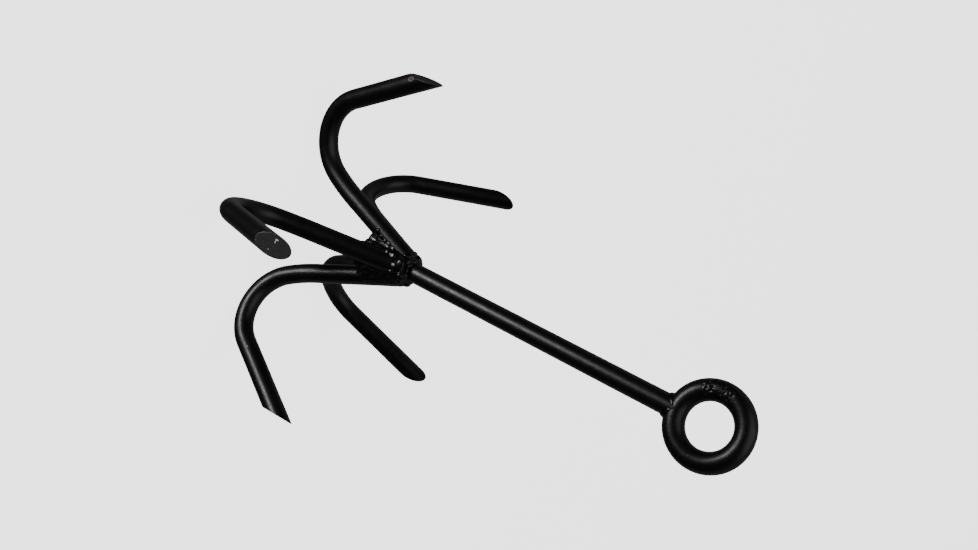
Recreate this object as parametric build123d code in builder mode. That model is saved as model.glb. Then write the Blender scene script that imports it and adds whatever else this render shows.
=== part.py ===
from build123d import *
from math import cos, radians, sin, tan
import os

os.makedirs("parts", exist_ok=True)

# Welded five-claw grapnel anchor, made of one size of round steel bar.
# The origin is the centre of the ring. +Z runs up the shank towards the ring,
# and the ring lies in the XZ plane, so its eye opens along Y.
# All lengths are in millimetres and all angles in degrees.

# Bar stock
BAR = 12.0
BAR_R = BAR / 2

# Ring: bar bent to a circle and closed with a butt weld
RING_BEND = 18.5
RING_SEAM_ANGLE = -10.0
RING_SEAM_WIDTH = 5.0
RING_SEAM_CROWN = 0.5
RING_SEAM_ROOT = 1.6

# Shank: straight bar, welded to the ring at the top and sawn square at the bottom
SHANK_SEAT = 1.0
SHANK_TOP = SHANK_SEAT - RING_BEND - BAR_R
SHANK_END = -234.0
SHANK_EDGE = 0.6

# Flared weld between the shank and the ring
COLLAR_LOW = -31.0
COLLAR_HIGH = -21.5
COLLAR_STEP = 3.2
COLLAR_WAIST = 6.5
COLLAR_WIDE = 7.4
COLLAR_LIP = 7.0

# Claws: each is one bar, straight, then bent gently outwards, then hooked up and out.
# The stem's centreline passes ROOT_OFFSET from the shank's axis at ROOT_LEVEL.
ROOT_LEVEL = -208.0
ROOT_OFFSET = 7.5
NOSE_LEVEL = -201.0
NOSE_RUN = 12.0
GENTLE_BEND = 110.0
GENTLE_TURN = 10.5
HOOK_BEND = 28.0
HOOK_TURN = 118.0
POINT_LENGTH = 56.5
BEVEL_ANGLE = 30.5

# The claws are placed by hand around the shank, so each one has its own direction,
# its own lean away from the shank and its own stem length.
CLAW_AZIMUTHS = [24.5, 99.5, 168.5, 235.5, 307.5]
CLAW_LEANS = [22.5, 29.5, 23.0, 20.0, 24.5]
STEM_LENGTHS = [48.5, 51.0, 53.0, 45.5, 53.5]
CLAWS = len(CLAW_AZIMUTHS)

# Weld bead over the upper end of each claw
NOSE_WELD_OUT = 8.0
NOSE_WELD_LEVEL = -201.8
NOSE_WELD_R = 4.4

# Weld metal that fills the gap between neighbouring claws, down to WEB_END
WEB_TOP = -205.0
WEB_WAIST = -212.0
WEB_END = -232.0
WEB_TOP_OUT = 9.2
WEB_WAIST_OUT = 11.4
WEB_END_OUT = 13.2
WEB_HALF_WIDTH = 9.0


def radial_plane(azimuth):
    """Plane through the shank's axis: its x runs outwards and its y runs up."""
    angle = radians(azimuth)
    return Plane(
        origin=(0, 0, 0),
        x_dir=(cos(angle), sin(angle), 0),
        z_dir=(sin(angle), -cos(angle), 0),
    )


def keep_sector(low, high):
    """Cut the part being built to the sector between two azimuths."""
    low_side = radial_plane(low)
    high_side = radial_plane(high)
    split(bisect_by=low_side, keep=Keep.BOTTOM)
    split(bisect_by=high_side, keep=Keep.TOP)


def gap_azimuth(index):
    """Azimuth halfway between claw number index and the next one round."""
    here = CLAW_AZIMUTHS[index % CLAWS]
    there = CLAW_AZIMUTHS[(index + 1) % CLAWS]
    return here + ((there - here) % 360) / 2


def write(part, name):
    """Label a finished piece and write its STEP file."""
    part.label = name
    export_step(part, f"parts/{name}.step")


# ---- Ring seam weld: a double-sided butt weld around the ring's closing joint ----
seam_angle = radians(RING_SEAM_ANGLE)
seam_place = Plane(
    origin=(RING_BEND * cos(seam_angle), 0, RING_BEND * sin(seam_angle)),
    x_dir=(cos(seam_angle), 0, sin(seam_angle)),
    z_dir=(0, -1, 0),
)
with BuildPart() as ring_seam_weld:
    with BuildSketch(seam_place):
        with BuildLine():
            Line((0, -RING_SEAM_ROOT / 2), (BAR_R, -RING_SEAM_WIDTH / 2))
            ThreePointArc(
                (BAR_R, -RING_SEAM_WIDTH / 2),
                (BAR_R + RING_SEAM_CROWN, 0),
                (BAR_R, RING_SEAM_WIDTH / 2),
            )
            Polyline(
                (BAR_R, RING_SEAM_WIDTH / 2),
                (0, RING_SEAM_ROOT / 2),
                (0, -RING_SEAM_ROOT / 2),
            )
        make_face()
    revolve(axis=Axis(seam_place.origin, seam_place.y_dir))
write(ring_seam_weld.part, "ring_seam_weld")

# ---- Ring: full circle of bar, opened where the seam weld closes it ----
with BuildPart() as ring:
    with BuildSketch(Plane.XY):
        with Locations((RING_BEND, 0)):
            Circle(BAR_R)
    revolve(axis=Axis.Y)
    add(ring_seam_weld.part, mode=Mode.SUBTRACT)
write(ring.part, "ring")

# ---- Shank: straight bar, with its top seated against the ring ----
with BuildPart() as shank:
    with BuildSketch(Plane.XY.offset(SHANK_END)):
        Circle(BAR_R)
    extrude(amount=SHANK_TOP - SHANK_END)
    chamfer(shank.edges().sort_by(Axis.Z)[0], length=SHANK_EDGE)
    add(ring.part, mode=Mode.SUBTRACT)
write(shank.part, "shank")

# ---- Ring weld: flared fillet that joins the shank's top to the ring ----
with BuildPart() as ring_weld:
    with BuildSketch(Plane.XZ):
        with BuildLine():
            Line((0, COLLAR_LOW), (BAR_R, COLLAR_LOW))
            Spline(
                (BAR_R, COLLAR_LOW),
                (COLLAR_WAIST, COLLAR_LOW + COLLAR_STEP),
                (COLLAR_WIDE, COLLAR_LOW + 2 * COLLAR_STEP),
                (COLLAR_LIP, COLLAR_HIGH),
                tangents=[(0.1, 1.0), (-0.2, 1.0)],
            )
            Polyline((COLLAR_LIP, COLLAR_HIGH), (0, COLLAR_HIGH), (0, COLLAR_LOW))
        make_face()
    revolve(axis=Axis.Z)
    add(shank.part, mode=Mode.SUBTRACT)
    add(ring.part, mode=Mode.SUBTRACT)
write(ring_weld.part, "ring_weld")

# ---- Claws ----
claws = []
for index in range(CLAWS):
    azimuth = CLAW_AZIMUTHS[index]
    lean = radians(CLAW_LEANS[index])
    side = radial_plane(azimuth)
    # The stem starts above the level where it is cut off against the shank.
    stem_top = (ROOT_OFFSET - NOSE_RUN * sin(lean), ROOT_LEVEL + NOSE_RUN * cos(lean))
    stem_run = NOSE_RUN + STEM_LENGTHS[index]
    stem_foot = (stem_top[0] + stem_run * sin(lean), stem_top[1] - stem_run * cos(lean))
    overrun = 1.5 * BAR_R / tan(radians(BEVEL_ANGLE))
    with BuildPart() as claw:
        with BuildLine(side) as route:
            stem = Line(stem_top, stem_foot)
            gentle = JernArc(stem @ 1, stem % 1, GENTLE_BEND, GENTLE_TURN)
            hook = JernArc(gentle @ 1, gentle % 1, HOOK_BEND, HOOK_TURN)
            point_end = hook @ 1 + (hook % 1) * (POINT_LENGTH + overrun)
            point = Line(hook @ 1, point_end)
        with BuildSketch(Plane(origin=stem @ 0, z_dir=stem % 0)):
            Circle(BAR_R)
        sweep(path=route.line)
        # Bevelled point: one slanting saw cut that faces away from the shank.
        ahead = hook % 1
        inward = side.z_dir.cross(ahead)
        bevel_centre = hook @ 1 + ahead * POINT_LENGTH
        bevel_normal = ahead * sin(radians(BEVEL_ANGLE)) - inward * cos(radians(BEVEL_ANGLE))
        split(bisect_by=Plane(origin=bevel_centre, z_dir=bevel_normal), keep=Keep.BOTTOM)
        # Upper end: cut off level, shaped to the shank and mitred to its neighbours.
        split(bisect_by=Plane.XY.offset(NOSE_LEVEL), keep=Keep.BOTTOM)
        keep_sector(gap_azimuth(index - 1), gap_azimuth(index))
        add(shank.part, mode=Mode.SUBTRACT)
    write(claw.part, f"claw_{index + 1}")
    claws.append(claw.part)

# ---- Nose welds: a rounded bead over the upper end of each claw ----
for index in range(CLAWS):
    side = radial_plane(CLAW_AZIMUTHS[index])
    bead_centre = side.from_local_coords((NOSE_WELD_OUT, NOSE_WELD_LEVEL, 0))
    with BuildPart() as nose_weld:
        with Locations(bead_centre):
            Sphere(NOSE_WELD_R)
        add(shank.part, mode=Mode.SUBTRACT)
        add(claws[index], mode=Mode.SUBTRACT)
    write(nose_weld.part, f"nose_weld_{index + 1}")

# ---- Valley welds: weld metal between neighbouring claws, against the shank ----
for index in range(CLAWS):
    following = (index + 1) % CLAWS
    side = radial_plane(gap_azimuth(index))
    with BuildPart() as valley_weld:
        with BuildSketch(side):
            Polygon(
                (0, WEB_TOP),
                (WEB_TOP_OUT, WEB_TOP),
                (WEB_WAIST_OUT, WEB_WAIST),
                (WEB_END_OUT, WEB_END),
                (0, WEB_END),
                align=None,
            )
        extrude(amount=WEB_HALF_WIDTH, both=True)
        keep_sector(CLAW_AZIMUTHS[index], CLAW_AZIMUTHS[following])
        for neighbour in (index, following):
            add(claws[neighbour], mode=Mode.SUBTRACT)
        add(shank.part, mode=Mode.SUBTRACT)
    write(valley_weld.part, f"valley_weld_{index + 1}")
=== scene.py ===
import math
import random

import bmesh
import bpy
import numpy as np
from mathutils import Matrix, Vector, noise


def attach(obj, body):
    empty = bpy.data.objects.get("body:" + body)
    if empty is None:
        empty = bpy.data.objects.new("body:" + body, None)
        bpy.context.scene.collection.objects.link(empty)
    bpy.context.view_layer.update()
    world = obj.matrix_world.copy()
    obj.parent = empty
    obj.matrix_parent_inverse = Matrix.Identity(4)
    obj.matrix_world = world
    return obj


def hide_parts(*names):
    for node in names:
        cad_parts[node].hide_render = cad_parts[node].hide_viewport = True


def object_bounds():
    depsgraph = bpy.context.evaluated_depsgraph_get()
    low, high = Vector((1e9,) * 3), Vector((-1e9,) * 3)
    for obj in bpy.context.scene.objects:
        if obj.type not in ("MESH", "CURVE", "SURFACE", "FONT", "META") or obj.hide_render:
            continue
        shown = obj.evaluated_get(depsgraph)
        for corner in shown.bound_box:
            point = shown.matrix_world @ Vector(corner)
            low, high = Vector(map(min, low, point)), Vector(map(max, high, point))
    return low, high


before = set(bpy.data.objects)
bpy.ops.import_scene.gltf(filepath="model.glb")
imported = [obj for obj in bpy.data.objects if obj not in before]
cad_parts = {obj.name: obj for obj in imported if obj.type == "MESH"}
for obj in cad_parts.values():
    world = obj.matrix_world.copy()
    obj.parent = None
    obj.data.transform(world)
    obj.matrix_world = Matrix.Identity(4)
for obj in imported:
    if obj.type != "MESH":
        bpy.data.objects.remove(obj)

CAD_LOW, CAD_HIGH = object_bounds()
MM = 0.001
SEED = Vector((3.7, 1.3, 8.1))

# ---- The anchor's sizes, in millimetres and degrees ----
# All are the CAD model's, apart from SHANK_TOP and NOSE_CUT_BACK, whose ends are out of sight.
BAR_R = 6.0
RING_BEND = 18.5
RING_SEAM_ANGLE = -10.0
SHANK_TOP = -18.5  # 5 mm above the CAD shank's top, buried in the ring
SHANK_END = -234.0
ROOT_LEVEL = -208.0
ROOT_OFFSET = 7.5
NOSE_LEVEL = -201.0
NOSE_CUT_BACK = 2.6  # each claw starts this far below NOSE_LEVEL, under its bead
GENTLE_BEND = 110.0
GENTLE_TURN = 10.5
HOOK_BEND = 28.0
HOOK_TURN = 118.0
POINT_LENGTH = 56.5
BEVEL_ANGLE = 30.5
CLAW_AZIMUTHS = [24.5, 99.5, 168.5, 235.5, 307.5]
CLAW_LEANS = [22.5, 29.5, 23.0, 20.0, 24.5]
STEM_LENGTHS = [48.5, 51.0, 53.0, 45.5, 53.5]
CLAWS = len(CLAW_AZIMUTHS)
WEB_END = -232.0

# How far the painted surface wanders inwards from the CAD bar, which it never leaves
DENT_DEPTH = 0.10
RING_DENT_DEPTH = 0.14

# Sawn ends: the width of the broken edge, and how far rim and middle lie behind the cut
EDGE_BREAK = 0.35
EDGE_SINK = 0.05
FACE_SINK = 0.12
END_FACE_SINK = 0.1
CAP_RINGS = 9

# Mesh steps: lines along a bar, the spacing of its rows, and the rows in a claw's tip
COLUMNS = 64
ROW_STEP = 0.8
TIP_ROWS = 26
TIP_MARGIN = 2.0
RING_COLUMNS, RING_ROWS = 96, 330

# Scarred stretch of the ring, by its angle round the ring in degrees
SCAR_MIDDLE = -8.0
SCAR_SPREAD = 29.0
SCAR_DEPTH = 0.32
SCAR_FADE = 8.0
SCAR_FRONT = 0.35  # only where the surface faces forwards by more than this
PIT_LIMIT = 0.5


# ---- Materials ----
def node_tree(name):
    """New material, with its node tree and its shader."""
    material = bpy.data.materials.new(name)
    material.use_nodes = True
    tree = material.node_tree
    return material, tree, tree.nodes["Principled BSDF"]


def noise_node(tree, scale, detail, roughness, vector):
    """Noise over a surface; a larger scale gives a finer pattern."""
    made = tree.nodes.new("ShaderNodeTexNoise")
    made.inputs["Scale"].default_value = scale
    made.inputs["Detail"].default_value = detail
    made.inputs["Roughness"].default_value = roughness
    tree.links.new(vector, made.inputs["Vector"])
    return made.outputs["Fac"]


def ramp_node(tree, value, stops):
    """Shade by a value, from stops of a place and a grey or a colour."""
    made = tree.nodes.new("ShaderNodeValToRGB")
    tree.links.new(value, made.inputs["Fac"])
    ramp = made.color_ramp
    while len(ramp.elements) < len(stops):
        ramp.elements.new(0.5)
    for element, (place, shade) in zip(ramp.elements, stops):
        element.position = place
        element.color = (*shade, 1.0) if isinstance(shade, tuple) else (shade, shade, shade, 1.0)
    return made.outputs["Color"]


def mix_node(tree, factor, low, high):
    """Mix of two colours or outputs: low at factor 0 and high at factor 1."""
    made = tree.nodes.new("ShaderNodeMix")
    made.data_type = "RGBA"
    tree.links.new(factor, made.inputs["Factor"])
    low_colour, high_colour = made.inputs[6], made.inputs[7]
    for socket, value in ((low_colour, low), (high_colour, high)):
        if isinstance(value, tuple):
            socket.default_value = (*value, 1.0)
        else:
            tree.links.new(value, socket)
    return made.outputs[2]


def bump_node(tree, height, strength, distance, below=None):
    """Relief from a height, laid over the relief below it if there is one."""
    made = tree.nodes.new("ShaderNodeBump")
    made.inputs["Strength"].default_value = strength
    made.inputs["Distance"].default_value = distance
    tree.links.new(height, made.inputs["Height"])
    if below is not None:
        tree.links.new(below, made.inputs["Normal"])
    return made.outputs["Normal"]


def heading_of(index):
    """Direction in which one claw's point runs, as a unit vector."""
    azimuth = math.radians(CLAW_AZIMUTHS[index])
    angle = math.radians(CLAW_LEANS[index] + GENTLE_TURN + HOOK_TURN)
    level = Vector((math.cos(azimuth), math.sin(azimuth), 0.0))
    return level * math.sin(angle) - Vector((0, 0, 1)) * math.cos(angle)


# The paint's patterns, by noise scale: a larger scale is a finer pattern
SPOT_NOISE = 1800.0
SPOT_RAGGEDNESS = 0.7
MOTTLE_SCALE = 38.0
GLOSS_SCALE = 210.0
RUBBED_SCALE = 95.0
RUBBED_SHADE = (0.014, 0.013, 0.012)
RUBBED_EXTRA_ROUGHNESS = 0.15
PEEL_SCALE, PEEL_HEIGHT = 260.0, 0.0006
NIB_SCALE, NIB_HEIGHT = 1300.0, 0.0003


def spot_node(tree, place, centre, long_way, size):
    """Distance from the middle of a small oval mark: 0 in its middle and about 1 at its rim."""
    turn = long_way.to_track_quat("X", "Z").to_euler()
    frame_of_spot = tree.nodes.new("ShaderNodeMapping")
    frame_of_spot.vector_type = "TEXTURE"
    frame_of_spot.inputs["Location"].default_value = [c * MM for c in centre]
    frame_of_spot.inputs["Rotation"].default_value = turn
    frame_of_spot.inputs["Scale"].default_value = [c * MM for c in size]
    tree.links.new(place, frame_of_spot.inputs["Vector"])
    length = tree.nodes.new("ShaderNodeVectorMath")
    length.operation = "LENGTH"
    tree.links.new(frame_of_spot.outputs["Vector"], length.inputs[0])
    ragged = noise_node(tree, SPOT_NOISE, 3.0, 0.6, place)
    total = tree.nodes.new("ShaderNodeMath")
    total.operation = "MULTIPLY_ADD"
    total.inputs[1].default_value = SPOT_RAGGEDNESS
    tree.links.new(ragged, total.inputs[0])
    tree.links.new(length.outputs["Value"], total.inputs[2])
    shifted = tree.nodes.new("ShaderNodeMath")
    shifted.operation = "SUBTRACT"
    shifted.inputs[1].default_value = SPOT_RAGGEDNESS / 2
    tree.links.new(total.outputs["Value"], shifted.inputs[0])
    return shifted.outputs["Value"]


def paint_material(name, base, warm, gloss, peel, grain, wear, marks=()):
    """Black paint: mottled colour and gloss, orange peel, fine dust nibs and rubbed spots."""
    material, tree, shader = node_tree(name)
    place = tree.nodes.new("ShaderNodeTexCoord").outputs["Object"]
    mottle = noise_node(tree, MOTTLE_SCALE, 4.0, 0.6, place)
    streaks = noise_node(tree, GLOSS_SCALE, 3.0, 0.6, place)
    shade = ramp_node(tree, mottle, [(0.3, base), (0.7, warm)])
    worn_noise = noise_node(tree, RUBBED_SCALE, 6.0, 0.75, place)
    rubbed = ramp_node(tree, worn_noise, [(0.70 - wear, 0.0), (0.76 - wear, 1.0)])
    shade = mix_node(tree, rubbed, shade, RUBBED_SHADE)
    for centre, long_way, size, stops in marks:
        distance = spot_node(tree, place, centre, long_way, size)
        inside = ramp_node(tree, distance, [(0.85, 1.0), (1.0, 0.0)])
        shade = mix_node(tree, inside, shade, ramp_node(tree, distance, stops))
    tree.links.new(shade, shader.inputs["Base Color"])
    low, high = gloss
    rough = ramp_node(tree, streaks, [(0.25, low), (0.75, high)])
    rough = mix_node(tree, rubbed, rough, (high + RUBBED_EXTRA_ROUGHNESS,) * 3)
    tree.links.new(rough, shader.inputs["Roughness"])
    shader.inputs["IOR"].default_value = 1.5
    shader.inputs["Specular IOR Level"].default_value = 0.5
    ripples = noise_node(tree, PEEL_SCALE, 2.0, 0.5, place)
    ripples = bump_node(tree, ripples, peel, PEEL_HEIGHT)
    nibs = noise_node(tree, NIB_SCALE, 2.0, 0.5, place)
    nibs = ramp_node(tree, nibs, [(0.66, 0.0), (0.78, 1.0)])
    nibs = bump_node(tree, nibs, grain, NIB_HEIGHT, ripples)
    tree.links.new(nibs, shader.inputs["Normal"])
    return material


# Saw scratches: how fast they change along the cut and across it, and from claw to claw
SCRATCH_FINE, SCRATCH_LONG, SCRATCH_SHIFT = 0.9, 0.12, 7.0


def bevel_material():
    """Painted saw cut: satin dark grey with fine parallel scratches and three pale chips."""
    material, tree, shader = node_tree("painted_saw_cut")
    place = tree.nodes.new("ShaderNodeTexCoord").outputs["Object"]
    attribute = tree.nodes.new("ShaderNodeAttribute")
    attribute.attribute_name = "saw"
    scratch = tree.nodes.new("ShaderNodeTexNoise")
    scratch.inputs["Scale"].default_value = 5.0
    scratch.inputs["Detail"].default_value = 5.0
    tree.links.new(attribute.outputs["Vector"], scratch.inputs["Vector"])
    speckle = noise_node(tree, 900.0, 4.0, 0.7, place)
    shade = ramp_node(tree, speckle, SAW_CUT_SHADES)
    long_way = heading_of(TICK_CLAW)
    for centre, size in TICK_CHIPS:
        distance = spot_node(tree, place, centre, long_way, size)
        inside = ramp_node(tree, distance, [(0.75, 1.0), (0.95, 0.0)])
        shade = mix_node(tree, inside, shade, CHIP_WHITE)
    tree.links.new(shade, shader.inputs["Base Color"])
    rough = ramp_node(tree, scratch.outputs["Fac"], [(0.3, 0.50), (0.7, 0.68)])
    tree.links.new(rough, shader.inputs["Roughness"])
    lines = bump_node(tree, scratch.outputs["Fac"], 0.5, 0.0003)
    tree.links.new(bump_node(tree, speckle, 0.35, 0.0002, lines), shader.inputs["Normal"])
    return material


def worn_edge_material():
    """Rim of a saw cut, where the paint is thin and rubbed through in places."""
    material, tree, shader = node_tree("worn_edge")
    place = tree.nodes.new("ShaderNodeTexCoord").outputs["Object"]
    spots = noise_node(tree, 420.0, 4.0, 0.65, place)
    shade = ramp_node(tree, spots, [(0.46, 0.006), (0.58, 0.10)])
    tree.links.new(shade, shader.inputs["Base Color"])
    rough = ramp_node(tree, spots, [(0.4, 0.30), (0.6, 0.45)])
    tree.links.new(rough, shader.inputs["Roughness"])
    tree.links.new(bump_node(tree, spots, 0.5, 0.0003), shader.inputs["Normal"])
    return material


# Chips and scuffs in the paint: place and size in millimetres, direction, and shades
# from the middle outwards. The indexes count the claws from 0.
SCUFF_CLAW, NICK_CLAW, TICK_CLAW = 0, 2, 1
PINK_GREY = [(0.45, (0.05, 0.035, 0.035)), (0.75, (0.30, 0.20, 0.20))]
DARK_NICK = [(0.3, 0.03), (0.8, 0.09)]
PALE_SPECK = [(0.3, 0.30), (0.8, 0.16)]
CHIP_WHITE = (0.85, 0.86, 0.84)
SAW_CUT_SHADES = [(0.3, (0.004, 0.0045, 0.005)), (0.75, (0.013, 0.014, 0.015))]
BAR_MARKS = [
    ((97.1, 50.4, -226.1), heading_of(SCUFF_CLAW), (2.5, 1.5, 1.5), PINK_GREY),
    ((-28.6, 11.7, -259.2), heading_of(NICK_CLAW), (0.9, 0.7, 0.7), DARK_NICK),
    ((-85.0, 23.2, -265.5), heading_of(NICK_CLAW), (0.7, 0.5, 0.5), PALE_SPECK),
]
TICK_CHIPS = [
    ((-15.2, 111.5, -208.2), (1.25, 0.55, 0.9)),
    ((-16.5, 111.4, -208.8), (0.35, 0.9, 0.5)),
    ((-21.3, 111.0, -211.2), (0.40, 0.30, 0.4)),
]

# Each paint: darker and lighter shade, range of roughness, peel, grain and wear
BAR_LOOK = (0.0016, 0.0030, (0.33, 0.42), 0.10, 0.15, 0.0)
RING_LOOK = (0.0016, 0.0030, (0.33, 0.42), 0.12, 0.25, 0.01)
WELD_LOOK = (0.0020, 0.0035, (0.22, 0.34), 0.08, 0.03, 0.0)
BAR_PAINT = paint_material("black_bar_paint", *BAR_LOOK, BAR_MARKS)
RING_PAINT = paint_material("black_ring_paint", *RING_LOOK)
WELD_PAINT = paint_material("black_weld_paint", *WELD_LOOK)
SAW_CUT = bevel_material()
WORN_EDGE = worn_edge_material()
CLAW_MATERIALS = [BAR_PAINT, SAW_CUT, WORN_EDGE]


# ---- Mesh helpers: positions are numpy arrays in millimetres ----
def dent(points, normals, depth=DENT_DEPTH):
    """Move surface points inwards by a smooth wandering amount, never outwards."""
    moved = points.copy()
    for i, (p, n) in enumerate(zip(points, normals)):
        at = Vector(p)
        broad = noise.noise(at * 0.045 + SEED)
        close = noise.noise(at * 0.16 + SEED * 2)
        fine = noise.noise(at * 0.55 + SEED * 3)
        amount = 0.5 + 0.30 * broad + 0.22 * close + 0.08 * fine
        moved[i] = p - n * depth * min(max(amount, 0.0), 1.0)
    return moved


def grid_faces(rows, columns, closed_rows=False):
    """Quads between rows of a tube whose columns wrap round."""
    faces = []
    last = rows if closed_rows else rows - 1
    for i in range(last):
        j = (i + 1) % rows
        for k in range(columns):
            m = (k + 1) % columns
            faces.append((i * columns + k, i * columns + m, j * columns + m, j * columns + k))
    return faces


def build(name, points, faces, materials):
    """New smooth-shaded piece on the root body."""
    mesh = bpy.data.meshes.new(name)
    mesh.from_pydata((np.asarray(points) * MM).tolist(), [], faces)
    for material in materials:
        mesh.materials.append(material)
    mesh.update()
    mesh.polygons.foreach_set("use_smooth", [True] * len(mesh.polygons))
    piece = bpy.data.objects.new(name, mesh)
    bpy.context.scene.collection.objects.link(piece)
    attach(piece, "root")
    return piece


def cap_fan(points, faces, ring, centre, steps, flip):
    """Close a tube's end with concentric rings and a middle point, added to both lists."""
    ring_points = np.array([points[i] for i in ring])
    outer = list(ring)
    columns = len(ring)
    for step in range(1, steps):
        share = 1 - step / steps
        start = len(points)
        points.extend(list(centre + (ring_points - centre) * share))
        inner = list(range(start, start + columns))
        for k in range(columns):
            m = (k + 1) % columns
            quad = (outer[k], outer[m], inner[m], inner[k])
            faces.append(quad[::-1] if flip else quad)
        outer = inner
    middle = len(points)
    points.append(centre)
    for k in range(columns):
        m = (k + 1) % columns
        tri = (outer[k], outer[m], middle)
        faces.append(tri[::-1] if flip else tri)


def turns_round(columns):
    """Angles of the lines round a bar."""
    return np.linspace(0, 2 * math.pi, columns, endpoint=False)


def claw_route(index, step):
    """Centreline of one claw in its own plane: places, headings and the end of the hook."""
    lean = math.radians(CLAW_LEANS[index])
    rise = (NOSE_LEVEL - NOSE_CUT_BACK - ROOT_LEVEL) / math.cos(lean)
    heading = lean
    place = np.array([ROOT_OFFSET - rise * math.sin(lean), ROOT_LEVEL + rise * math.cos(lean)])
    places, headings = [], []

    def straight(length):
        nonlocal place
        ahead = np.array([math.sin(heading), -math.cos(heading)])
        for along in np.arange(0.0, length, step):
            places.append(place + along * ahead)
            headings.append(heading)
        place = place + length * ahead

    def bend(radius, turn):
        nonlocal place, heading
        centre = place + radius * np.array([math.cos(heading), math.sin(heading)])
        for along in np.arange(0.0, math.radians(turn), step / radius):
            angle = heading + along
            places.append(centre - radius * np.array([math.cos(angle), math.sin(angle)]))
            headings.append(angle)
        heading += math.radians(turn)
        place = centre - radius * np.array([math.cos(heading), math.sin(heading)])

    straight(rise + STEM_LENGTHS[index])
    bend(GENTLE_BEND, GENTLE_TURN)
    bend(HOOK_BEND, HOOK_TURN)
    hook_end, hook_heading = place.copy(), heading
    reach = BAR_R / math.tan(math.radians(BEVEL_ANGLE))
    straight(POINT_LENGTH - reach - TIP_MARGIN)
    return places, headings, hook_end, hook_heading


def claw(index):
    """One claw: a tube along its centreline, ended by a sawn bevel with a broken edge."""
    azimuth = math.radians(CLAW_AZIMUTHS[index])
    out = np.array([math.cos(azimuth), math.sin(azimuth), 0.0])
    side = np.array([math.sin(azimuth), -math.cos(azimuth), 0.0])
    up = np.array([0.0, 0.0, 1.0])
    turns = turns_round(COLUMNS)
    places, headings, hook_end, heading = claw_route(index, ROW_STEP)
    points, normals = [], []
    for place, angle in zip(places, headings):
        centre = place[0] * out + place[1] * up
        inward = math.cos(angle) * out + math.sin(angle) * up
        for turn in turns:
            normal = math.cos(turn) * inward + math.sin(turn) * side
            points.append(centre + BAR_R * normal)
            normals.append(normal)
    # The tip bar runs on to the bevel plane, a different way for each line along the bar.
    ahead = math.sin(heading) * out - math.cos(heading) * up
    inward = math.cos(heading) * out + math.sin(heading) * up
    bevel_angle = math.radians(BEVEL_ANGLE)
    slant = 1 / math.tan(bevel_angle)
    tip = hook_end[0] * out + hook_end[1] * up
    start = POINT_LENGTH - BAR_R * slant - TIP_MARGIN
    for row in range(1, TIP_ROWS + 1):
        share = row / TIP_ROWS
        for turn in turns:
            normal = math.cos(turn) * inward + math.sin(turn) * side
            finish = POINT_LENGTH + BAR_R * math.cos(turn) * slant - EDGE_BREAK
            along = start + (finish - start) * share
            points.append(tip + ahead * along + BAR_R * normal)
            normals.append(normal)
    points = np.array(points)
    points = list(dent(points, np.array(normals)))
    total_rows = len(points) // COLUMNS
    faces = grid_faces(total_rows, COLUMNS)
    # Broken edge between the bar's side and the bevel face.
    bevel_centre = tip + ahead * POINT_LENGTH
    rim = range((total_rows - 1) * COLUMNS, total_rows * COLUMNS)
    face_normal = ahead * math.sin(bevel_angle) - inward * math.cos(bevel_angle)
    first = len(points)
    for k in rim:
        flat = points[k] - bevel_centre
        flat = flat - face_normal * flat.dot(face_normal)
        flat = flat * (1 - 0.9 * EDGE_BREAK / BAR_R)
        points.append(bevel_centre + flat - face_normal * EDGE_SINK)
    inner = list(range(first, first + COLUMNS))
    for k in range(COLUMNS):
        m = (k + 1) % COLUMNS
        faces.append((rim[k], rim[m], inner[m], inner[k]))
    side_faces = len(faces)
    cap_fan(points, faces, inner, bevel_centre - face_normal * FACE_SINK, CAP_RINGS, False)
    bevel_faces = len(faces)
    upper_end = np.mean(np.array(points[:COLUMNS]), axis=0)
    cap_fan(points, faces, list(range(COLUMNS)), upper_end, 2, True)
    piece = build(f"bar_of_claw_{index + 1}", points, faces, CLAW_MATERIALS)
    # Coordinates for the scratches, which run across the cut's long way.
    long_way = ahead * math.cos(bevel_angle) + inward * math.sin(bevel_angle)
    saw = piece.data.attributes.new("saw", "FLOAT_VECTOR", "POINT")
    coords = np.zeros((len(points), 3))
    for i, p in enumerate(points):
        from_centre = np.asarray(p) - bevel_centre
        lengthwise, crosswise = from_centre.dot(long_way), from_centre.dot(side)
        coords[i] = (lengthwise * SCRATCH_FINE, crosswise * SCRATCH_LONG, index * SCRATCH_SHIFT)
    saw.data.foreach_set("vector", coords.ravel())
    for polygon in piece.data.polygons[side_faces - COLUMNS:side_faces]:
        polygon.material_index = CLAW_MATERIALS.index(WORN_EDGE)
    for polygon in piece.data.polygons[side_faces:bevel_faces]:
        polygon.material_index = CLAW_MATERIALS.index(SAW_CUT)
    mark_sharp_rim(piece, side_faces, bevel_faces)
    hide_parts(f"claw_{index + 1}")


def mark_sharp_rim(piece, first, last):
    """Keep the edge between a saw cut and the bar crisp."""
    edges = {}
    for polygon in piece.data.polygons:
        inside = first <= polygon.index < last
        for key in polygon.edge_keys:
            edges.setdefault(key, set()).add(inside)
    sharp = {key for key, kinds in edges.items() if len(kinds) == 2}
    for edge in piece.data.edges:
        if tuple(edge.key) in sharp:
            edge.use_edge_sharp = True


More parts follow.
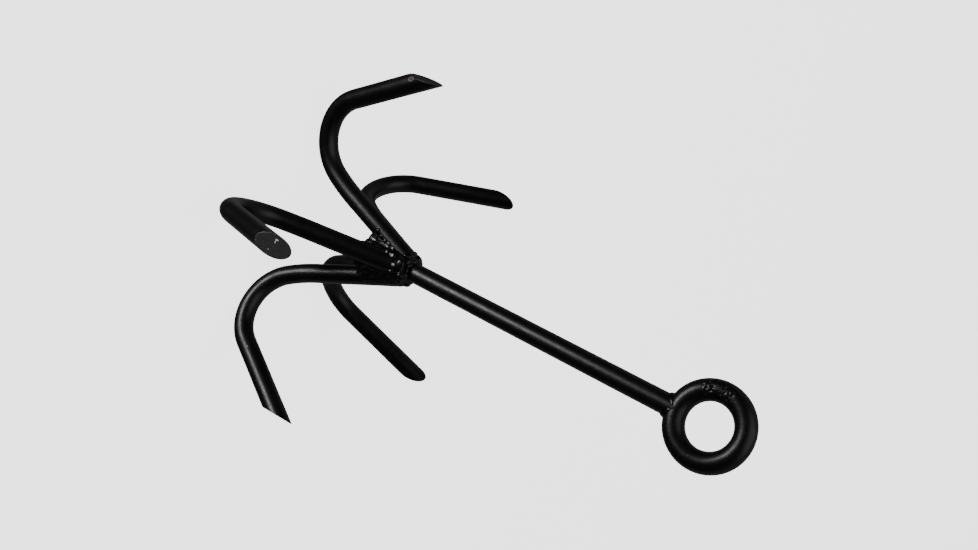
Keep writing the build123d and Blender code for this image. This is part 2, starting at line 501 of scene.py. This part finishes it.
def shank():
    """Straight bar, from inside the ring down to its sawn end with a broken edge."""
    turns = turns_round(COLUMNS)
    lowest = SHANK_END + EDGE_BREAK
    levels = list(np.arange(SHANK_TOP, lowest, -ROW_STEP)) + [lowest]
    points, normals = [], []
    for level in levels:
        for turn in turns:
            normal = np.array([math.cos(turn), math.sin(turn), 0.0])
            points.append(BAR_R * normal + np.array([0, 0, level]))
            normals.append(normal)
    points = list(dent(np.array(points), np.array(normals)))
    faces = [face[::-1] for face in grid_faces(len(levels), COLUMNS)]
    first = len(points)
    for turn in turns:
        rim = (BAR_R - EDGE_BREAK - 0.1) * np.array([math.cos(turn), math.sin(turn), 0.0])
        points.append(rim + np.array([0, 0, SHANK_END]))
    last_row = range((len(levels) - 1) * COLUMNS, len(levels) * COLUMNS)
    inner = list(range(first, first + COLUMNS))
    for k in range(COLUMNS):
        m = (k + 1) % COLUMNS
        faces.append((last_row[k], inner[k], inner[m], last_row[m]))
    cap_fan(points, faces, inner, np.array([0, 0, SHANK_END + END_FACE_SINK]), 4, True)
    cap_fan(points, faces, list(range(COLUMNS)), np.array([0, 0, SHANK_TOP]), 2, False)
    piece = build("shank_bar", points, faces, [BAR_PAINT])
    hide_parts("shank")


def pit(points, normals):
    """Small craters over the scarred front of the ring, beside its closing joint."""
    pitted = points.copy()
    for i, (p, n) in enumerate(zip(points, normals)):
        from_middle = abs(math.degrees(math.atan2(p[2], p[0])) - SCAR_MIDDLE)
        if n[1] < SCAR_FRONT or from_middle > SCAR_SPREAD:
            continue
        fade = min((SCAR_SPREAD - from_middle) / SCAR_FADE, (n[1] - SCAR_FRONT) / 0.3, 1.0)
        crater = max(noise.noise(Vector(p) * 0.75 + SEED) - 0.02, 0.0)
        pitted[i] = p - n * min(SCAR_DEPTH * fade * crater * 3.0, PIT_LIMIT)
    return pitted


def ring():
    """Full circle of bar, dented all round and pitted in its scarred stretch."""
    turns = turns_round(RING_COLUMNS)
    points, normals = [], []
    for row in range(RING_ROWS):
        angle = 2 * math.pi * row / RING_ROWS
        out = np.array([math.cos(angle), 0.0, math.sin(angle)])
        for turn in turns:
            normal = math.cos(turn) * out + math.sin(turn) * np.array([0.0, 1.0, 0.0])
            points.append(RING_BEND * out + BAR_R * normal)
            normals.append(normal)
    points = dent(np.array(points), np.array(normals), RING_DENT_DEPTH)
    points = pit(points, np.array(normals))
    faces = grid_faces(RING_ROWS, RING_COLUMNS, True)
    piece = build("ring_bar", points, faces, [RING_PAINT])
    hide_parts("ring")


for claw_index in range(CLAWS):
    claw(claw_index)
shank()
ring()
for node_name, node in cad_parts.items():
    node.data.materials.clear()
    node.data.materials.append(WELD_PAINT if "weld" in node_name else BAR_PAINT)


# ---- Weld metal: overlapping puddles fused into one skin, then roughened ----
# Lengths are in millimetres, levels are below the ring's centre, and out is from the shank's axis
WELD_VOXEL = 0.3
WELD_SETTLE = 12
WELD_TOP = -200.5
TOE_ACROSS = 5.3
TOE_FLATNESS = 0.55
WEB_TRIM = 1.3
# Valley, counted from 0, whose weld also runs up over the next claw's flank
COATED_VALLEY = 1
COAT_TOP = -204.5
COAT_FALL = 23.5
COAT_FAR_FALL = 18.5
COAT_LEVELS = 20
COAT_RADIUS = 1.75
DROP_FACING = (0.09, 1.0, 0.0)
DROP_FLATNESS = 0.42
NOSE_PASSES = 7
NOSE_LEVEL_LOW = -204.6
NOSE_RISE = 2.7
NOSE_HALF_WIDTH = 3.7
NOSE_OUT = 8.1
NOSE_BULGE = 0.9
SHANK_SIDE = (-2.8, 0.2, 2.8)
NOSE_DROPS = 4
VALLEY_PASSES = 30
TOE_DROPS = 5
TOE_TOP = -212.6
TOE_SPACING = 3.6
FILLET_STEPS = 48
SEAM_STEPS = 46
SEAM_SIDE = 1.9
# Larger flat drops on the head, by claw counted from 0: each one's front, and its radius
HAND_LAID_DROPS = {
    1: [
        (0.9, 13.4, -202.2, 3.6),
        (-1.6, 13.2, -205.4, 2.6),
        (3.2, 13.2, -209.2, 2.7),
        (3.4, 13.8, -213.2, 2.3),
        (-4.6, 12.2, -206.2, 2.2),
        (-5.1, 10.6, -200.4, 2.2),
    ],
}


def puddles(points_and_radii):
    """One mesh of overlapping puddles: balls, or lenses where a facing and a flatness follow."""
    mesh = bpy.data.meshes.new("puddles")
    melt = bmesh.new()
    for place, radius, *lens in points_and_radii:
        shift = Matrix.Translation(Vector(place) * MM)
        if lens:
            facing, flatness = lens
            turn = Vector(facing).to_track_quat("Z", "X").to_matrix().to_4x4()
            shift = shift @ turn @ Matrix.Diagonal((1.0, 1.0, flatness, 1.0))
        bmesh.ops.create_icosphere(melt, subdivisions=2, radius=radius * MM, matrix=shift)
    melt.to_mesh(mesh)
    melt.free()
    return mesh


def weld_mass(name, points_and_radii, node, rough=0.30, scale=0.30, settle=WELD_SETTLE, floor=None):
    """Melt the puddles into one skin, settle and roughen it, and put it in a CAD node's place."""
    mesh = puddles(points_and_radii)
    draft = bpy.data.objects.new("draft", mesh)
    bpy.context.scene.collection.objects.link(draft)
    remesh = draft.modifiers.new("fuse", "REMESH")
    remesh.mode = "VOXEL"
    remesh.voxel_size = WELD_VOXEL * MM
    smooth = draft.modifiers.new("settle", "SMOOTH")
    smooth.factor = 0.5
    smooth.iterations = settle
    graph = bpy.context.evaluated_depsgraph_get()
    fused = bpy.data.meshes.new_from_object(draft.evaluated_get(graph))
    bpy.data.objects.remove(draft)
    count = len(fused.vertices)
    places = np.zeros(count * 3)
    fused.vertices.foreach_get("co", places)
    places = places.reshape(-1, 3) / MM
    normals = np.array([v.normal for v in fused.vertices])
    for i in range(count):
        at = Vector(places[i])
        lumps = noise.noise(at * scale + SEED) + 0.25 * noise.noise(at * scale * 2.3 + SEED)
        places[i] += normals[i] * rough * lumps
        if floor is not None and places[i][2] < floor:
            places[i][2] = floor + 0.1 * noise.noise(at * 0.8)
    faces = [tuple(p.vertices) for p in fused.polygons]
    bpy.data.meshes.remove(fused)
    piece = build(name, places, faces, [WELD_PAINT])
    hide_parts(node)


def radial(azimuth, out, across, level):
    """Place at a distance out from the shank's axis, sideways by across, at a level."""
    angle = math.radians(azimuth)
    x = out * math.cos(angle) - across * math.sin(angle)
    y = out * math.sin(angle) + across * math.cos(angle)
    return (x, y, level)


def gap_azimuth(index):
    """Azimuth halfway between one claw and the next one round."""
    here = CLAW_AZIMUTHS[index % CLAWS]
    there = CLAW_AZIMUTHS[(index + 1) % CLAWS]
    return here + ((there - here) % 360) / 2


def flank(index, toward, across, level, outwards=0.0):
    """Place beside one claw's stem: across its centreline, towards the next claw or the last."""
    lean = math.radians(CLAW_LEANS[index])
    out = ROOT_OFFSET + (ROOT_LEVEL - level) * math.tan(lean) + outwards
    return radial(CLAW_AZIMUTHS[index], out, across * toward, level)


def nose_weld(index):
    """Bead laid over the claw's upper end, from one side to the other."""
    rng = random.Random(40 + index)
    azimuth = CLAW_AZIMUTHS[index]
    blobs = []
    for step in range(NOSE_PASSES):
        swing = math.radians(-100 + 200 * step / (NOSE_PASSES - 1))
        across = NOSE_HALF_WIDTH * math.sin(swing)
        level = NOSE_LEVEL_LOW + NOSE_RISE * math.cos(swing) + rng.uniform(-0.3, 0.3)
        out = NOSE_OUT + NOSE_BULGE * math.cos(swing) + rng.uniform(-0.2, 0.2)
        blobs.append((radial(azimuth, out, across, level), 2.3 + rng.uniform(-0.2, 0.3)))
    # Smaller puddles where the bead meets the shank, with filling below them.
    for across in SHANK_SIDE:
        level = -199.8 + rng.uniform(-0.7, 0.6)
        blobs.append((radial(azimuth, 6.1, across, level), 1.8 + rng.uniform(-0.2, 0.3)))
        blobs.append((radial(azimuth, 6.6, across, -203.2), 3.0))
    for _ in range(NOSE_DROPS):
        drop = (rng.uniform(8.4, 9.4), rng.uniform(-3.2, 3.2), rng.uniform(-206.0, -201.5))
        blobs.append((radial(azimuth, *drop), rng.uniform(1.7, 2.4)))
    for x, y, z, radius in HAND_LAID_DROPS.get(index, []):
        centre = (x, y - radius * DROP_FLATNESS, z)
        blobs.append((centre, radius, DROP_FACING, DROP_FLATNESS))
    weld_mass(f"nose_bead_{index + 1}", blobs, f"nose_weld_{index + 1}")


def valley_weld(index):
    """Bead run down between two claws, widening into the web, with drops along both its toes."""
    rng = random.Random(70 + index)
    azimuth = gap_azimuth(index)
    blobs = []
    for step in range(VALLEY_PASSES):
        share = step / (VALLEY_PASSES - 1)
        level = WELD_TOP + (WEB_END + 3.0 - WELD_TOP) * share
        out = 8.2 + 2.6 * share ** 0.8 + rng.uniform(-0.08, 0.08)
        half_gap = 0.4 + 4.2 * share ** 1.3
        radius = 2.2 + 1.2 * share
        for across in (-half_gap, -half_gap / 2, half_gap / 2, half_gap):
            blobs.append((radial(azimuth, out, across, level), radius))
        blobs.append((radial(azimuth, out - 3.0, 0.0, level), 3.0))
    for claw_number, toward in ((index, 1), ((index + 1) % CLAWS, -1)):
        for step in range(TOE_DROPS):
            level = TOE_TOP - TOE_SPACING * step + rng.uniform(-0.6, 0.6)
            place = flank(claw_number, toward, TOE_ACROSS, level, rng.uniform(-0.8, 0.3))
            side = flank(claw_number, toward, BAR_R, level)
            middle = flank(claw_number, toward, 0.0, level)
            facing = tuple(np.subtract(side, middle))
            blobs.append((place, 2.25 + rng.uniform(-0.25, 0.35), facing, TOE_FLATNESS))
    if index == COATED_VALLEY:
        blobs += coat(index)
    name, node = f"valley_bead_{index + 1}", f"valley_weld_{index + 1}"
    weld_mass(name, blobs, node, floor=WEB_END + WEB_TRIM)


def coat(index):
    """Weld that slopes from one claw's stem down over the flank of the next one's."""
    blobs = []
    depth = BAR_R - 1.3
    lower = math.radians(42)
    for step in range(COAT_LEVELS):
        share = step / (COAT_LEVELS - 1)
        upper_level = COAT_TOP - COAT_FALL * share
        lower_level = COAT_TOP - COAT_FAR_FALL * share
        upper = math.radians(45 + 42 * share)
        high = flank(index, 1, depth * math.sin(upper), upper_level, depth * math.cos(upper))
        low = flank(index + 1, -1, depth * math.sin(lower), lower_level, depth * math.cos(lower))
        high, low = np.array(high), np.array(low)
        last_extra = 0.3 if step == COAT_LEVELS - 1 else 0.0
        for part in np.linspace(0.0, 1.0, 11):
            blobs.append((tuple(high + (low - high) * part), COAT_RADIUS + last_extra))
    return blobs


def ring_weld():
    """Small fillet round the shank's top, thickest in the corners beside the ring."""
    rng = random.Random(5)
    blobs = []
    for step in range(FILLET_STEPS):
        turn = 2 * math.pi * step / FILLET_STEPS
        x, y = BAR_R * math.cos(turn), BAR_R * math.sin(turn)
        reach = RING_BEND + math.sqrt(max(BAR_R ** 2 - y * y, 0.0))
        level = -math.sqrt(reach * reach - x * x)
        corner = abs(math.cos(turn))
        radius = 0.72 + 0.95 * corner + rng.uniform(-0.04, 0.04)
        sink = 0.90 - 0.02 * (1 - corner)
        blobs.append(((x * sink, y * sink, level - 0.4), radius))
        if corner > 0.5:
            blobs.append(((x * 1.02, y * 0.92, level + 0.7), radius * 0.75))
    weld_mass("ring_fillet", blobs, "ring_weld", rough=0.07, scale=0.6)


def ring_seam():
    """Low pitted bead round the ring's closing joint, dressed nearly flush with the bar."""
    rng = random.Random(9)
    blobs = []
    for step in range(SEAM_STEPS):
        turn = 2 * math.pi * step / SEAM_STEPS
        for side in (-SEAM_SIDE, 0.0, SEAM_SIDE):
            angle = math.radians(RING_SEAM_ANGLE) + (side + rng.uniform(-0.3, 0.3)) / RING_BEND
            out = np.array([math.cos(angle), 0.0, math.sin(angle)])
            spoke = math.cos(turn) * out + math.sin(turn) * np.array([0.0, 1.0, 0.0])
            centre = RING_BEND * out + (BAR_R - 1.30) * spoke
            radius = 1.25 + rng.uniform(-0.05, 0.08) - 0.10 * abs(side) / SEAM_SIDE
            blobs.append((tuple(centre), radius))
    weld_mass("ring_seam_bead", blobs, "ring_seam_weld", rough=0.12, scale=0.9, settle=5)


for claw_index in range(CLAWS):
    nose_weld(claw_index)
    valley_weld(claw_index)
ring_weld()
ring_seam()


# ---- Camera, floor and light ----
def millimetres(x, y, z):
    """A place given in millimetres, in metres."""
    return Vector((x * MM, y * MM, z * MM))


# The camera, fitted to the object's outlines: place in millimetres, and its right and down
CAMERA_PLACE = (10.121, 533.393, 145.222)
CAMERA_RIGHT = Vector((0.453119, -0.428447, 0.781739))
CAMERA_DOWN = Vector((-0.891343, -0.231343, 0.389857))
FOCAL_SHARE = 1.094632  # focal length over the image's width
SENSOR = 36.0
PAPER_GLOW = 2.6
FLOOR_GAP = 0.0005  # metres
ROOM_RADIUS = 12.0  # metres
PAPER_NORMAL = (0.0, 0.928, -0.371)  # up from the paper that the photographed anchor lies on
WORLD_SHADES = [(0.40, 0.18), (0.55, 0.034)]

camera_data = bpy.data.cameras.new("camera")
camera_data.sensor_width = SENSOR
camera_data.lens = SENSOR * FOCAL_SHARE
camera_data.clip_start = 0.01
camera_data.clip_end = 50.0
camera = bpy.data.objects.new("camera", camera_data)
bpy.context.scene.collection.objects.link(camera)
camera_right = CAMERA_RIGHT.normalized()
camera_up = (-CAMERA_DOWN).normalized()
camera_back = camera_right.cross(camera_up)
turned = Matrix((camera_right, camera_up, camera_back)).transposed()
camera.matrix_world = Matrix.Translation(millimetres(*CAMERA_PLACE)) @ turned.to_4x4()
bpy.context.scene.camera = camera


def pale_paper():
    """Evenly lit white paper, a little uneven, for the floor and the backdrop."""
    material, tree, shader = node_tree("pale_paper")
    place = tree.nodes.new("ShaderNodeTexCoord").outputs["Object"]
    tone = ramp_node(tree, noise_node(tree, 1.5, 2.0, 0.5, place), [(0.3, 0.985), (0.7, 1.0)])
    tree.links.new(tone, shader.inputs["Base Color"])
    tree.links.new(tone, shader.inputs["Emission Color"])
    shader.inputs["Roughness"].default_value = 0.9
    shader.inputs["Specular IOR Level"].default_value = 0.1
    shader.inputs["Emission Strength"].default_value = PAPER_GLOW
    return material


def studio_room():
    """Paper floor under the anchor, inside a wide dome of the same paper."""
    paper = pale_paper()
    level = CAD_LOW.z - FLOOR_GAP
    for name in ("floor", "backdrop"):
        mesh = bpy.data.meshes.new(name)
        made = bmesh.new()
        if name == "floor":
            under = Matrix.Translation((0.0, 0.0, level))
            bmesh.ops.create_grid(made, x_segments=1, y_segments=1, size=ROOM_RADIUS, matrix=under)
        else:
            bmesh.ops.create_uvsphere(made, u_segments=64, v_segments=32, radius=ROOM_RADIUS)
        made.to_mesh(mesh)
        made.free()
        mesh.materials.append(paper)
        piece = bpy.data.objects.new(name, mesh)
        bpy.context.scene.collection.objects.link(piece)
        piece.visible_glossy = False
        piece.visible_diffuse = False
        piece.visible_shadow = False


def area_light(name, target, direction, distance, width, height, power):
    """Rectangular light that faces the target from a direction; metres and watts."""
    along = Vector((0, 0, 1))
    data = bpy.data.lights.new(name, "AREA")
    data.shape = "RECTANGLE"
    data.size = width
    data.size_y = height
    data.energy = power
    lamp = bpy.data.objects.new(name, data)
    bpy.context.scene.collection.objects.link(lamp)
    back = Vector(direction).normalized()
    up = (along - back * along.dot(back)).normalized()
    right = up.cross(back)
    turn = Matrix((right, up, back)).transposed().to_4x4()
    lamp.matrix_world = Matrix.Translation(target + back * distance) @ turn


studio_room()
HEAD = millimetres(0, 0, -175)
area_light("softbox", HEAD, (0.137, 0.850, -0.520), 1.1, 0.34, 0.21, 5.8)
area_light("overhead", HEAD, (0.25, 0.35, 1.0), 2.2, 2.2, 2.2, 12.0)


def studio_world():
    """Dim room on the photographer's side of the paper, and a paler world on the other side."""
    world = bpy.data.worlds.new("studio")
    bpy.context.scene.world = world
    world.use_nodes = True
    tree = world.node_tree
    coords = tree.nodes.new("ShaderNodeTexCoord")
    height = tree.nodes.new("ShaderNodeVectorMath")
    height.operation = "DOT_PRODUCT"
    height.inputs[1].default_value = PAPER_NORMAL
    tree.links.new(coords.outputs["Generated"], height.inputs[0])
    shift = tree.nodes.new("ShaderNodeMath")
    shift.operation = "MULTIPLY_ADD"
    shift.inputs[1].default_value = 0.5
    shift.inputs[2].default_value = 0.5
    tree.links.new(height.outputs["Value"], shift.inputs[0])
    shade = ramp_node(tree, shift.outputs["Value"], WORLD_SHADES)
    tree.links.new(shade, tree.nodes["Background"].inputs["Color"])
    tree.nodes["Background"].inputs["Strength"].default_value = 1.0


studio_world()
